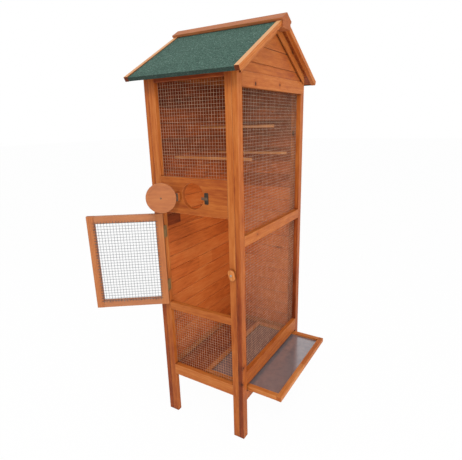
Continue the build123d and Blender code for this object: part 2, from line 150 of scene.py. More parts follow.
# %% Finish
class Finish:
    """The graph of a material or of the sky, empty at first."""

    def __init__(self, owner):
        self.owner = owner
        owner.use_nodes = True
        self.tree = owner.node_tree
        self.tree.nodes.clear()

    def node(self, kind, settings=None, sockets=None):
        made = self.tree.nodes.new(kind)
        for key, value in (settings or {}).items():
            if key == "stops":
                ramp = made.color_ramp
                while len(ramp.elements) < len(value):
                    ramp.elements.new(0.5)
                for element, (place, colour) in zip(ramp.elements, value):
                    element.position = place
                    element.color = (*colour, 1)
            else:
                setattr(made, key, value)
        for key, value in (sockets or {}).items():
            if isinstance(value, Field):
                self.tree.links.new(value.socket, made.inputs[key])
            elif isinstance(value, tuple) and len(value) == 3 and made.inputs[key].type == "RGBA":
                made.inputs[key].default_value = (*value, 1)
            else:
                made.inputs[key].default_value = value
        return Field(self, made.outputs[0]) if made.outputs else None

    def math(self, operation, *values):
        return self.node("ShaderNodeMath", {"operation": operation}, dict(enumerate(values)))

    def step(self, value, low, high):
        """0 below low, 1 above high and smooth between."""
        return self.node("ShaderNodeMapRange", {"interpolation_type": "SMOOTHSTEP"},
                         {"Value": value, "From Min": low, "From Max": high})

    def between(self, value, low, high, soft=0.003):
        """1 from low to high, with soft borders."""
        return self.step(value, low - soft, low + soft) * (1 - self.step(value, high - soft, high + soft))

    def point(self, x, y, z):
        return self.node("ShaderNodeCombineXYZ", None, {"X": x, "Y": y, "Z": z})

    def noise(self, vector, scale=1.0, detail=2.0, roughness=0.5):
        return self.node("ShaderNodeTexNoise", None,
                         {"Vector": vector, "Scale": scale, "Detail": detail, "Roughness": roughness})

    def channels(self, colour):
        """The red, green and blue of a colour, which serve as three random numbers."""
        parts = self.node("ShaderNodeSeparateColor", None, {0: colour})
        return [parts.out(channel) for channel in ("Red", "Green", "Blue")]

    def mix(self, factor, first, second):
        """Colours mixed by a factor. Sockets 6 and 7 of the node are its two colours."""
        mixed = self.node("ShaderNodeMix", {"data_type": "RGBA"},
                          {"Factor": factor, 6: first, 7: second})
        return Field(self, mixed.socket.node.outputs[2])

    def ramp(self, tone, stops):
        """A colour from dark to light, read off between the stops."""
        return self.node("ShaderNodeValToRGB", {"stops": stops}, {0: tone})

    def relief(self, height, strength, distance):
        return self.node("ShaderNodeBump", None,
                         {"Strength": strength, "Distance": distance, "Height": height})

    def output(self, shader):
        self.node("ShaderNodeOutputMaterial", None, {"Surface": shader})
        return self.owner


print("Finish is ready")

# %% [markdown]
# ## Floor and sky
# The picture has a plain white ground. White paint lit evenly would do, but the floor is also
# what bounces light up under the roof, so the floor is a real pale surface that keeps the cage's soft
# shadow, lifted towards white only for rays that the camera or a shiny surface sends out.
# The sky is the same white for those rays and a little dimmer as a lamp.

# %% Floor
floor_lift = 0.97
floor_size = 30
floor_pale = (0.94, 0.94, 0.94)
white = (1, 1, 1)


def seen(finish):
    """1 for rays that show a surface to the camera or in a reflection."""
    path = finish.node("ShaderNodeLightPath")
    shown = path.out("Is Camera Ray") + path.out("Is Glossy Ray") + path.out("Is Transmission Ray")
    return finish.math("MINIMUM", shown, 1.0)


floor_finish = Finish(bpy.data.materials.new("pale_floor"))
floor_paint = floor_finish.node("ShaderNodeBsdfPrincipled", None,
                                {"Base Color": floor_pale, "Roughness": 0.9})
floor_glow = floor_finish.node("ShaderNodeEmission", None, {"Color": white, "Strength": 1.0})
floor_shown = seen(floor_finish) * floor_lift
floor_material = floor_finish.output(
    floor_finish.node("ShaderNodeMixShader", None, {0: floor_shown, 1: floor_paint, 2: floor_glow}))

floor_corners = [(x * floor_size, y * floor_size, 0) for x, y in ((-1, -1), (1, -1), (1, 1), (-1, 1))]
floor_mesh = bpy.data.meshes.new("floor")
floor_mesh.from_pydata(floor_corners, [], [(0, 1, 2, 3)])
floor_mesh.materials.append(floor_material)
floor = bpy.data.objects.new("floor", floor_mesh)
bpy.context.scene.collection.objects.link(floor)
print("floor of", 2 * floor_size, "m")

# %% Sky
sky_strength = 0.60
world = bpy.data.worlds.new("sky")
bpy.context.scene.world = world
sky = Finish(world)
sky_lamp = sky.node("ShaderNodeBackground", None, {"Color": white, "Strength": sky_strength})
sky_seen = sky.node("ShaderNodeBackground", None, {"Color": white, "Strength": 1.0})
sky_shader = sky.node("ShaderNodeMixShader", None, {0: seen(sky), 1: sky_lamp, 2: sky_seen})
sky.node("ShaderNodeOutputWorld", None, {"Surface": sky_shader})
print("sky at", sky_strength)

# %% [markdown]
# ## Lamps
# The cage was lit softly from the right and above, with shadows that hardly show. One small hard lamp
# would draw the netting's shadow on the boards, so square lamps of a metre or two are used. A large
# softbox stands high to the front right, a lower one lights the right side down to the legs, and a
# weak one stands to the left. Their strengths were set until colours render about as written.

# %% Softboxes
def softbox(name, place, aim, size, power):
    lamp_data = bpy.data.lights.new(name, "AREA")
    lamp_data.shape = "SQUARE"
    lamp_data.size = size
    lamp_data.energy = power
    lamp = bpy.data.objects.new(name, lamp_data)
    lamp.location = place
    lamp.rotation_mode = "QUATERNION"
    lamp.rotation_quaternion = (Vector(aim) - Vector(place)).to_track_quat("-Z", "Y")
    bpy.context.scene.collection.objects.link(lamp)
    print(name, power, "W")


cage_middle = (0.19, 0.28, 0.9)
right_side_middle = (0.4, 0.3, 0.7)
softbox("front_right_softbox", (1.9, -2.7, 4.2), cage_middle, 1.4, 92)
softbox("right_softbox", (3.3, -0.7, 1.0), right_side_middle, 1.6, 34)
softbox("left_softbox", (-2.8, -1.6, 2.2), cage_middle, 2.0, 16)

# %% [markdown]
# ## Turning an open leaf back
# The door and the hatch's cover stand open, so their battens lie askew to the room, and a grain that
# runs along X in the room would cross them at a slant. Two things could be turned: the pattern of each
# batten by hand, or the place that the pattern is read at. The second needs only the angle at which the
# leaf stands open, which is the same as the joint's turn to its closed end.

# %% Place and normal
hinges = {joint["name"]: joint for joint in frame["joints"]}
door_angle = math.radians(hinges["door_hinge"]["range_deg"][1])
hatch_angle = math.radians(hinges["hatch_hinge"]["range_deg"][1])


def surface(finish, turn=0.0):
    """Place and normal as three numbers each, turned about Z so that an open leaf lies along X."""
    place = finish.node("ShaderNodeTexCoord").out("Object")
    normal = finish.node("ShaderNodeTexCoord").out("Normal")
    if turn:
        place, normal = [finish.node("ShaderNodeVectorRotate", {"rotation_type": "Z_AXIS"},
                                     {"Vector": vector, "Angle": turn}) for vector in (place, normal)]
    return [[finish.node("ShaderNodeSeparateXYZ", None, {0: vector}).out(axis) for axis in "XYZ"]
            for vector in (place, normal)]


print("door stands at", round(math.degrees(door_angle)), "hatch at", round(math.degrees(hatch_angle), 1))

# %% [markdown]
# ## Which way the grain runs
# Wood is cut along the tree, so a batten's grain runs along its length, and its year rings are
# slices of cylinders round the tree's heart. A picture of wood wrapped round each piece would show
# seams at the ends. Here the ring pattern fills space instead, and each piece only says which
# way its grain runs. Pieces on the roof's slope are tilted back by its pitch, and the tray's frame
# changes direction where its side battens meet the end ones.

# %% Grain directions
roof_pitch = math.radians(30)
halfway_x = 0.194
halfway_y = sum(corner.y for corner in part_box("floor_boards")) / 2
tray_low, tray_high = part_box("tray_frame")
sheet_low, sheet_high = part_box("tray_sheet")


def grain_along(axis):
    """Grain along X, Y or Z: (along, across, through, how squarely the face cuts the grain)."""
    order = {"X": (0, 1, 2), "Y": (1, 0, 2), "Z": (2, 0, 1)}[axis]

    def directions(finish, place, normal):
        return [place[i] for i in order] + [abs(normal[order[0]])]
    return directions


def grain_on_slope(finish, place, normal):
    """Grain up the roof's slope, the same on both sides of the ridge."""
    cosine, sine = math.cos(roof_pitch), math.sin(roof_pitch)
    from_ridge = place[1] - halfway_y
    outward = abs(from_ridge)
    side = finish.math("SIGN", from_ridge)
    return [outward * cosine - place[2] * sine, place[0], outward * sine + place[2] * cosine,
            abs(normal[1] * side * cosine - normal[2] * sine)]


def grain_round_tray(finish, place, normal):
    """Grain along Y in the two end battens of the tray and along X in the two between them."""
    ends = (place[0] < sheet_low.x) + (place[0] > sheet_high.x)
    return [ends * place[1] + (1 - ends) * place[0], ends * place[0] + (1 - ends) * place[1], place[2],
            ends * abs(normal[1]) + (1 - ends) * abs(normal[0])]


print("the tray's frame turns its grain at", round(sheet_low.x, 3), "and", round(sheet_high.x, 3))

# %% [markdown]
# ## Stained fir
# The cage is planed fir under a thin orange-brown stain. The stain sits darker in the late wood of each
# year ring, in knots and in end grain, and is rubbed thin on edges. Corners and grooves get painted
# shade along with the stain that pooled there. A plain noise would give blotches but no lines, so
# the colour is built from the same things that make it on the real batten: rings round a heart that
# lies outside the piece, fine fibres, broad streaks and knots, each of them also a little relief for the
# light to catch.
#
# ### Every batten its own luck
# One node often holds several battens or boards, and no two came from the same tree. Each could have
# a material of its own, but that is dozens of copies. Instead the node's space is parted where one
# batten ends and the next begins, and each part draws three random numbers that shift its pattern.

# %% Luck of the draw
part_step, part_stretch, board_step = 3.7, 1.9, 0.613


def luck_of_each(finish, place, seed, parted, boards):
    """Three random numbers for each batten or board, and how far up its board a place lies."""
    number = 0.0 * place[0] + seed
    for axis, value in parted:
        number = number + (place["XYZ".index(axis)] > value) * (part_step + part_stretch * value)
    within = None
    if boards:
        first, width = boards
        board = (place[2] - first) / width
        within = finish.math("FRACT", board)
        number = number + (board - within) * board_step
    chance = finish.node("ShaderNodeTexWhiteNoise", {"noise_dimensions": "1D"}, {"W": number})
    return finish.channels(chance.out("Color")), within


print("battens and boards draw their own luck")

# %% [markdown]
# ### Year rings
# A batten is cut from a tree whose heart lies outside it, so its faces show slices of the rings:
# close lines where a face cuts them squarely, wide arches where it grazes them. Stripes laid on
# each face would not meet at the corners. Here a ring is a distance from the heart, which wanders a
# little along the piece, and the late wood is the dark, hard end of each ring.

# %% Rings
ring_width = 0.0034


def late_wood_of(finish, length, across, through, middle, luck, heart, within, board_width):
    """1 in the dark part of each ring, and the noise that makes its border ragged."""
    wander = finish.noise(finish.point(length * 2.4, across * 9, through * 9), detail=1)
    if board_width:
        sideways = across - middle[0] + heart
        downwards = (within - 0.5) * board_width + (luck[1] - 0.5) * 0.04 + (wander - 0.5) * 0.03
    else:
        sideways = across - middle[0] + (luck[1] - 0.5) * 0.05 + (wander - 0.5) * 0.022
        downwards = through - middle[1] + heart + (luck[2] - 0.5) * 0.02
    radius = (sideways * sideways + downwards * downwards) ** 0.5
    ragged = finish.noise(finish.point(length * 14, across * 240, through * 240), detail=1)
    ring = finish.math("FRACT", radius / ring_width + (ragged - 0.5) * 0.5)
    return finish.step(ring, 0.35, 0.93) * (1 - finish.step(ring, 0.94, 1.0)), ragged


print("rings", ring_width * 1000, "mm wide")

# %% [markdown]
# ### Knots
# A knot is a branch cut through, a dark spot with a halo where the grain swells round it. A few
# could be placed by hand on every batten, but there are too many faces. Stray knots come from cells
# of space, most of which stay empty, and only those that the picture shows are put in by name.

# %% Knots
knot_cell = 0.085
knot_reach = 0.085
knot_empty_share = 0.72


def knots_of(finish, place, length, across, through, named_knots):
    """1 in a knot, and 1 in and near it for the halo."""
    cells = finish.node("ShaderNodeTexVoronoi", None,
                        {"Vector": finish.point(length * 0.5, across, through), "Scale": 1 / knot_cell})
    size = finish.step(finish.channels(cells.out("Color"))[0], knot_empty_share, 1.0) * knot_reach
    spread = cells.out("Distance") / (size + 0.001)
    knot = 1 - finish.step(spread, 0.7, 1.25)
    halo = 1 - finish.step(spread, 0.8, 3.2)
    for spot, spot_radius in named_knots:
        gap = finish.node("ShaderNodeVectorMath", {"operation": "DISTANCE"},
                          {0: finish.point(*place), 1: spot}).out("Value") / spot_radius
        knot = finish.math("MAXIMUM", knot, 1 - finish.step(gap, 0.6, 1.1))
        halo = finish.math("MAXIMUM", halo, 1 - finish.step(gap, 0.8, 3.4))
    return knot, halo


print("stray knots in cells of", knot_cell * 1000, "mm")

# %% [markdown]
# ### Rubbed edges, and corners with pooled stain and painted shade
# Sanding and hands take the stain off sharp edges, and a wet brush leaves it in the corners between
# two pieces, where the colour is also darkened as painted shade. Both could be laid on by place, but
# both can also be measured: a bevelled normal differs from the true one only near an edge, and a short
# ray that finds no open sky is in a corner or a groove.

# %% Edges and corners
edge_radius = 0.0022
corner_reach = 0.012


def worn_pooled_and_shaded(finish, blotch):
    """1 on rubbed edges, broken by the blotches, and 1 in corners and grooves, where pooled stain and
    painted shade go.
    """
    bent = finish.node("ShaderNodeBevel", {"samples": 4}, {"Radius": edge_radius})
    true_normal = finish.node("ShaderNodeNewGeometry").out("Normal")
    alike = finish.node("ShaderNodeVectorMath", {"operation": "DOT_PRODUCT"},
                        {0: bent, 1: true_normal}).out("Value")
    edge = (1 - finish.step(alike, 0.80, 0.995)) * (0.35 + 0.65 * finish.step(blotch, 0.38, 0.6))
    open_sky = finish.node("ShaderNodeAmbientOcclusion", {"samples": 4}, {"Distance": corner_reach})
    return edge, 1 - finish.step(open_sky.out("AO"), 0.35, 0.95)


print("edges rubbed over", edge_radius * 1000, "mm")

# %% [markdown]
# ### Darker feet, painted shade under the eaves and inside
# The legs are darker towards the ground, most of all on their front faces. The front gets a painted
# shadow close under the roof, and the inner faces get painted shade towards the top, where hardly any
# light comes in. Lamps could make all three, but they would spoil the rest, so they are steps in height
# that each piece may ask for. Top faces of the roof's edges get a painted highlight, the cover has a
# faint turned ring, and a board may have marks of its own, among them a painted shadow.

# %% Shades that follow the cage
foot_span = (0.1, 1.3)
eave_span = (1.36, 1.475)
inner_span = (0.82, 1.36)
facing = (0.4, 0.6)
top_facing = (0.5, 0.8)
rim_inset, rim_line, rim_dark = 0.0125, (0.0006, 0.0018), 0.05


def shaded(finish, tone, place, normal, along, foot=0.0, rim=None, top=0.0, eave_shadow=0.0, inner=None,
           shade=0.0, marks=()):
    """A tone made darker or lighter by place, as the options ask."""
    if foot:
        front = 0.3 + 0.7 * finish.step(normal[1] * -1, *facing)
        tone = tone - (1 - finish.step(place[2], *foot_span)) * front * foot
    if rim:
        centre, rim_radius = rim
        reach = ((place[0] - centre[0]) ** 2 + (place[2] - centre[1]) ** 2) ** 0.5
        tone = tone - (1 - finish.step(abs(reach - (rim_radius - rim_inset)), *rim_line)) * rim_dark
    # painted highlight on faces that look up
    if top:
        tone = tone + finish.step(normal[2], *top_facing) * top
    # painted shadow of the eave across the top of the front
    if eave_shadow:
        tone = tone - finish.step(place[2], *eave_span) * eave_shadow
    # painted shade on inner faces, growing towards the top
    if inner:
        axis, direction = inner
        inside = finish.step(normal["XYZ".index(axis)] * direction, *facing)
        tone = tone - inside * finish.step(place[2], *inner_span) * shade
        # marks darken or lighten patches of an inner face, among them a painted shadow
        for (first_along, last_along), (low, high), darker in marks:
            marked = finish.between(along, first_along, last_along) * finish.between(place[2], low, high)
            tone = tone - marked * inside * darker
    return tone


print("feet darken below", foot_span[1], "m, inner faces above", inner_span[0], "m")

# %% [markdown]
# ### The stain itself
# All of it comes together as one number, the tone, which a ramp turns into colour: late wood and halos
# lower it, streaks, blotches and fibres move it both ways, and depth shifts a whole piece. End grain
# drinks more stain, so faces that cut the grain squarely are mixed towards a dark stain. The outer door
# and the cover are a little dusty. Boards that are seen from inside have a redder, fresher stain.

# %% Stained wood
# the deepest stain, also used for painted shade in corners and grooves and on the roof edges' sawn ends
deep_stain_and_shade = (0.110, 0.018, 0.004)
stain_dark = (0.270, 0.048, 0.008)
stain_plain = (0.450, 0.120, 0.020)
stain_light = (0.570, 0.200, 0.050)
stain_rubbed = (0.680, 0.350, 0.155)
stain_dust = (0.430, 0.215, 0.125)
inside_plain = (0.560, 0.125, 0.022)
inside_light = (0.660, 0.200, 0.048)
knot_brown = (0.050, 0.014, 0.006)
fibre_width = 0.0006
streak_width = 0.008
middle_tone = 0.54
board_lines = 0.35
cut_squareness = (0.62, 0.84)
wood_relief = dict(strength=0.35, distance=0.0007)
wood_shine = 0.16


def stained_wood(name, directions, middle, turn=0.0, seed=0.0, parted=(), boards=None, knots=(), heart=0.045,
                 depth=0.0, rubbed=0.55, seam_stain_and_shade=0.62, ends=0.45, end_stain_and_shade=stain_dark, dust=0.0, **shades):
    finish = Finish(bpy.data.materials.new(name))
    place, normal = surface(finish, turn)
    along, across, through, squareness = directions(finish, place, normal)
    luck, within = luck_of_each(finish, place, seed, parted, boards)
    length = along + luck[0] * 7
    late_wood, ragged = late_wood_of(finish, length, across, through, middle, luck, heart, within,
                                     boards[1] if boards else None)

    # Broad streaks, blotches of stain, fine fibres and a mottle between them
    streak = finish.noise(finish.point(length * 2.2, across / streak_width, through / streak_width))
    blotch = finish.noise(finish.point(length * 5, across * 11, through * 11), detail=3)
    fibre = finish.noise(finish.point(length * 34, across / fibre_width, through / fibre_width), detail=1)
    mottle = finish.noise(finish.point(length * 16, across * 95, through * 95), detail=4, roughness=0.65)

    knot, halo = knots_of(finish, place, length, across, through, knots)
    edge, pooled_stain_and_shade = worn_pooled_and_shaded(finish, blotch)
    cut_end = finish.step(squareness, *cut_squareness)

    lines = board_lines if boards else 1.0
    tone = (middle_tone - depth + (streak - 0.5) * 0.36 * lines + (blotch - 0.5) * 0.40
            + (fibre - 0.5) * 0.14 + (mottle - 0.5) * 0.50 + (luck[2] - 0.5) * 0.16
            - late_wood * 0.13 * lines - halo * 0.13)
    tone = shaded(finish, tone, place, normal, along, **shades)
    seen_inside = shades.get("inner") and boards
    plain, light = (inside_plain, inside_light) if seen_inside else (stain_plain, stain_light)
    colour = finish.ramp(tone, [(0.02, deep_stain_and_shade), (0.27, stain_dark), (0.52, plain), (0.78, light),
                                (1.0, stain_rubbed)])
    colour = finish.mix(cut_end * ends, colour, end_stain_and_shade)
    colour = finish.mix(edge * rubbed * (1 - cut_end * 0.6), colour, stain_rubbed)
    # corners and grooves get pooled stain and painted shade
    colour = finish.mix(pooled_stain_and_shade * seam_stain_and_shade * (0.5 + luck[0]), colour, deep_stain_and_shade)
    if dust:
        colour = finish.mix(dust, colour, stain_dust)
    colour = finish.mix(knot * 0.85, colour, knot_brown)

    height = (fibre * 0.35 + streak * 0.3 - late_wood * 0.35 - knot * 0.5 + cut_end * ragged * 0.5)
    sheen = 0.50 + (blotch - 0.5) * 0.20 + (fibre - 0.5) * 0.14 + cut_end * 0.22 + knot * 0.1
    shader = finish.node("ShaderNodeBsdfPrincipled", None,
                         {"Base Color": colour, "Roughness": sheen,
                          "Normal": finish.relief(height, **wood_relief), "Specular IOR Level": wood_shine})
    return finish.output(shader)


print("stain ready, with fibres", fibre_width * 1000, "mm wide")

# %% [markdown]
# ### Staining the straight pieces
# Which piece gets which grain is a short table: the node, the way its grain runs, and whether it
# holds several battens that should not look like one. Knots that show in the picture, two on the
# right top rail and two on the front right post, are put where they are. The other choices make a
# piece darker or paler than its neighbours, as each batten took the stain in its own way, but the
# dark front top rail and roof deck are painted shade, as is the eave option's darkening.

# %% Posts, stiles and rails
def dress(name, material):
    """Give a CAD piece its finish, in every slot that it has."""
    piece = nodes[name]
    if not piece.material_slots:
        piece.data.materials.append(material)
    for material_slot in piece.material_slots:
        material_slot.material = material


def middle_of(name, axis):
    """The middle of a piece across its grain, in the two directions that the rings need."""
    low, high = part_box(name)
    order = {"X": (1, 2), "Y": (0, 2), "Z": (0, 1)}[axis]
    return [(low[i] + high[i]) / 2 for i in order]


right_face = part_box("right_posts")[1].x
front_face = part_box("front_stiles")[0].y
rail_knots = [((right_face, 0.112, 1.443), 0.0075), ((right_face, 0.318, 1.452), 0.006)]
post_knots = [((right_face, -0.010, 0.352), 0.006), ((right_face - 0.004, front_face, 0.275), 0.006)]

straight_pieces = {
    "left_posts": ("Z", dict(parted=[("Y", halfway_y)], depth=0.06, foot=0.20, eave_shadow=0.08)),
    "right_posts": ("Z", dict(parted=[("Y", halfway_y)], depth=-0.06, knots=post_knots, foot=0.46)),
    "front_stiles": ("Z", dict(parted=[("X", halfway_x)], depth=-0.03, foot=0.15, eave_shadow=0.14)),
    "back_stiles": ("Z", dict(parted=[("X", halfway_x)], foot=0.15)),
    "front_bottom_rail": ("X", {}),
    "door_sill_rail": ("X", dict(depth=-0.03)),
    # painted shade: the top rail lies in the eave's shadow
    "front_top_rail": ("X", dict(depth=0.30)),
    "hatch_panel": ("X", dict(depth=0.02, heart=0.07)),
    "right_top_rail": ("Y", dict(knots=rail_knots)),
    "right_mid_rail": ("Y", dict(depth=-0.06)),
    "right_bottom_rail": ("Y", dict(depth=-0.03)),
    "tray_sill_rail": ("Y", dict(depth=0.03)),
    "left_rails": ("Y", dict(parted=[("Z", 0.8)], inner=("X", 1), shade=0.40)),
    "back_rails": ("X", dict(parted=[("Z", 0.8)], inner=("Y", -1), shade=0.40)),
    "floor_boards": ("Y", dict(parted=[("X", 0.10), ("X", 0.19), ("X", 0.28)], depth=0.24)),
    "floor_bearers": ("X", dict(parted=[("Y", halfway_y)])),
    "ridge_cap": ("X", dict(depth=-0.02, heart=0.004, dust=0.22)),
    # painted shade on the roof's underside, where little light comes in
    "roof_deck_boards": ("X", dict(depth=0.20)),
    "hatch_hinge_block": ("Z", dict(depth=0.10)),
}
for number, (name, (axis, choices)) in enumerate(straight_pieces.items()):
    dress(name, stained_wood("stain_" + name, grain_along(axis), middle_of(name, axis),
                             seed=number * 2.37, **choices))
print(len(straight_pieces), "straight pieces stained")

# %% [markdown]
# ### Boards of the walls and gables
# The left side, the back and both gables are boards with grooves between them, one node a wall.
# Cutting a node into boards only for their colour isn't needed, because the boards are all one width:
# the foot of the wall and that width say which board a place is on. Inside, the left wall gets a
# painted shadow of the hatch's cover near the top of the door's opening, darker at its right edge,
# two dark joints and one pale stretch, so those are marks with a place along the wall, a span of heights and
# how much darker they are.

# %% Boards
board_pitch, gable_board_pitch = 0.0625, 0.058
first_gable_joint = 0.034
wall_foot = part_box("left_wall_boards")[0].z
gable_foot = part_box("right_gable_boards")[0].z
# painted shadow of the hatch's cover on the left wall's inner face, and its darker right edge
painted_cover_shadow, painted_cover_shadow_edge = ((0.036, 0.127), (0.894, 0.974), 0.30), ((0.122, 0.127), (0.894, 0.974), 0.15)
lower_joint, upper_joint = ((0.0, 0.23), (0.714, 0.718), 0.14), ((0.15, 0.33), (0.861, 0.866), 0.14)
pale_stretch = ((0.25, 0.36), (0.62, 0.70), -0.10)
wall_marks = [painted_cover_shadow, painted_cover_shadow_edge, lower_joint, upper_joint, pale_stretch]
inside_wall = dict(seam_stain_and_shade=0.30, depth=-0.03, shade=0.40)
gable = dict(seam_stain_and_shade=0.95, depth=0.03)

board_walls = {
    "left_wall_boards": ("Y", wall_foot, board_pitch, dict(marks=wall_marks, inner=("X", 1), **inside_wall)),
    "back_wall_boards": ("X", wall_foot, board_pitch, dict(inner=("Y", -1), **inside_wall)),
    "left_gable_boards": ("Y", gable_foot + first_gable_joint, gable_board_pitch, gable),
    "right_gable_boards": ("Y", gable_foot + first_gable_joint, gable_board_pitch, gable),
}
for number, (name, (axis, first, width, choices)) in enumerate(board_walls.items()):
    dress(name, stained_wood("stain_" + name, grain_along(axis), middle_of(name, axis),
                             seed=40 + number * 3.1, boards=(first, width), **choices))
print(len(board_walls), "board walls stained")

# %% [markdown]
# ### The door's frame
# Two stiles with two rails between them, a little dusty from the weather. The frame stands open, so
# its grain is turned back by the door's angle, and its middle is given in the turned numbers.

# %% Door frame
door_middle_x, door_middle_y, door_middle_z = 0.19, -0.03, 0.77
dress("door_stiles", stained_wood("stain_door_stiles", grain_along("Z"), (door_middle_x, door_middle_y),
                                  turn=door_angle, seed=61, parted=[("X", door_middle_x)], depth=-0.02,
                                  dust=0.30))
dress("door_rails", stained_wood("stain_door_rails", grain_along("X"), (door_middle_y, door_middle_z),
                                 turn=door_angle, seed=64, parted=[("Z", 0.8)], depth=-0.06, dust=0.50))
print("door frame stained")

# %% [markdown]
# ### Roof edges and the tray's frame
# The barge boards and the trims under them run up the slope, and their top faces get a painted
# highlight. Their sawn feet are end grain that took more stain, painted nearly black, partly as
# painted shade. The tray's frame is pale, because it spends its days inside.

# %% Roof edges and tray
# the sawn ends get the deepest stain: end grain, and painted shade
roof_edge = dict(parted=[("X", halfway_x), ("Y", halfway_y)], depth=-0.15, ends=0.95, end_stain_and_shade=deep_stain_and_shade,
                 top=0.42)
for number, name in enumerate(("barge_boards", "gable_trims")):
    dress(name, stained_wood("stain_" + name, grain_on_slope, (halfway_x, 1.6), seed=70 + number * 5.3,
                             **roof_edge))
tray_parted = [("X", sheet_low.x), ("X", sheet_high.x), ("Y", halfway_y)]
dress("tray_frame", stained_wood("stain_tray_frame", grain_round_tray, (tray_high.x, tray_high.z), seed=83,
                                 parted=tray_parted, depth=-0.12))
print("roof edges and tray stained")

# %% [markdown]
# ### Turned and small pieces
# The hatch's cover is a disc sawn from a board, with its knob on the far side. The turn button is a
# small planed block, much handled, and the perches are plain rods that were hardly stained. The
# cover hangs open like the door, so it is turned back in the same way.

# %% Cover, knob, button and perches
hatch_centre = 0.061
hatch_radius = 0.058
hatch_foot = Vector(hinges["hatch_hinge"]["pos_m"])
hatch_turned = Matrix.Rotation(hatch_angle, 3, "Z") @ hatch_foot
cover_rim = ((hatch_turned.x + hatch_centre, hatch_turned.z), hatch_radius)
dress("hatch_disc", stained_wood("stain_hatch_disc", grain_along("X"), (hatch_turned.y, hatch_turned.z),
                                 turn=hatch_angle, seed=90, heart=0.09, seam_stain_and_shade=0.3, dust=0.35, rim=cover_rim))
dress("hatch_knob", stained_wood("stain_hatch_knob", grain_along("Y"), (0.0, 0.0), turn=hatch_angle,
                                 seed=93, depth=-0.08))
dress("turn_button", stained_wood("stain_turn_button", grain_along("Z"), middle_of("turn_button", "Z"),
                                  seed=96, depth=-0.12, rubbed=0.8))
dress("perches", stained_wood("stain_perches", grain_along("X"), (0.0, 1.2), seed=99, depth=-0.28,
                              rubbed=0.2))
print("cover, knob, button and perches stained")

# %% [markdown]
# ## Mineral felt on the roof
# Roofing felt is bitumen sheet with crushed green slate pressed into its top, and it is black
# where it is cut or folded. Real grains could be scattered as meshes, but at half a millimetre
# they are far too many, so cells of colour stand for the grains and a bump gives them relief.

# %% Felt
grains_per_metre = 620.0
clumps_per_metre = 170.0
felt_stops = [(0.08, (0.004, 0.019, 0.013)), (0.36, (0.016, 0.059, 0.041)), (0.56, (0.030, 0.092, 0.065)),
              (0.78, (0.066, 0.142, 0.108)), (1.0, (0.200, 0.270, 0.230))]
bitumen = (0.008, 0.018, 0.013)


def mineral_felt():
    finish = Finish(bpy.data.materials.new("mineral_felt"))
    place, normal = surface(finish)
    point = finish.point(*place)
    grains = finish.node("ShaderNodeTexVoronoi", None, {"Vector": point, "Scale": grains_per_metre})
    grain_shade = finish.channels(grains.out("Color"))[0]
    clumps = finish.noise(point, scale=clumps_per_metre, detail=3, roughness=0.65)
    patches = finish.noise(finish.point(place[0] * 5, place[1] * 9, place[2] * 9), detail=3)
    rub = finish.noise(finish.point(place[0] * 26, place[1] * 26, place[2] * 26), detail=4, roughness=0.7)
    tone = (0.50 + (grain_shade - 0.5) * 0.50 + (clumps - 0.5) * 2.1 + (patches - 0.5) * 0.25
            + (rub - 0.5) * 0.22)
    folded = 1 - finish.step(normal[2], 0.25, 0.7)
    colour = finish.mix(folded * (0.60 + 0.2 * clumps), finish.ramp(tone, felt_stops), bitumen)
    relief = finish.relief(grains.out("Distance") * -0.6 + clumps * 0.9, strength=0.6, distance=0.0012)
    shader = finish.node("ShaderNodeBsdfPrincipled", None,
                         {"Base Color": colour, "Roughness": 0.86 + (clumps - 0.5) * 0.2, "Normal": relief})
    return finish.output(shader)


dress("roof_felt", mineral_felt())
print("felt laid,", grains_per_metre, "grains to the metre")

# %% [markdown]
# ## Zinc and steel
# The tray's sheet, the netting and the screws are steel under zinc, but not the same zinc.
# Dipped zinc freezes in flat crystals, the spangle that shows on the tray. Wire is dull and
# uneven, plated hinges have a yellow tint, and the hatch's small fittings are bare steel that
# has gone brown or black. One recipe with a few choices covers them all.

# %% Metal recipe
crystals_per_metre = 95.0
grime_brown = (0.075, 0.060, 0.050)


def zinc(name, bright, dull, metal, roughness, spangle=0.0, waves=0.0, grime=0.3, shine=0.5):
    finish = Finish(bpy.data.materials.new(name))
    place, normal = surface(finish)
    point = finish.point(*place)
    cloud = finish.noise(point, scale=38.0, detail=4, roughness=0.6)
    crystal = finish.node("ShaderNodeTexVoronoi", None, {"Vector": point, "Scale": crystals_per_metre})
    facet = finish.channels(crystal.out("Color"))[0]
    colour = finish.mix(finish.step(cloud + (facet - 0.5) * spangle, 0.3, 0.72), bright, dull)
    specks = finish.step(finish.noise(point, scale=210.0, detail=3), 0.66, 0.8) * grime
    colour = finish.mix(specks, colour, grime_brown)
    wave = finish.noise(finish.point(place[0] * 9, place[1] * 6, place[2] * 9), detail=1)
    height = facet * spangle * 0.15 + cloud * 0.12 + wave * waves
    gloss = roughness + (facet - 0.5) * spangle * 0.3 + (cloud - 0.5) * 0.16 + specks * 0.4
    shader = finish.node("ShaderNodeBsdfPrincipled", None,
                         {"Base Color": colour, "Metallic": metal * (1 - specks), "Roughness": gloss,
                          "Normal": finish.relief(height, strength=0.4, distance=0.002),
                          "Specular IOR Level": shine})
    return finish.output(shader)


# the wire's warm tan is dull zinc with painted reflection of the stained wood round it
wire_zinc = zinc("galvanised_wire", (0.60, 0.385, 0.255), (0.36, 0.21, 0.135), 0.20, 0.45)
door_zinc = zinc("galvanised_door_wire", (0.12, 0.135, 0.15), (0.055, 0.062, 0.07), 0.20, 0.60, shine=0.25)
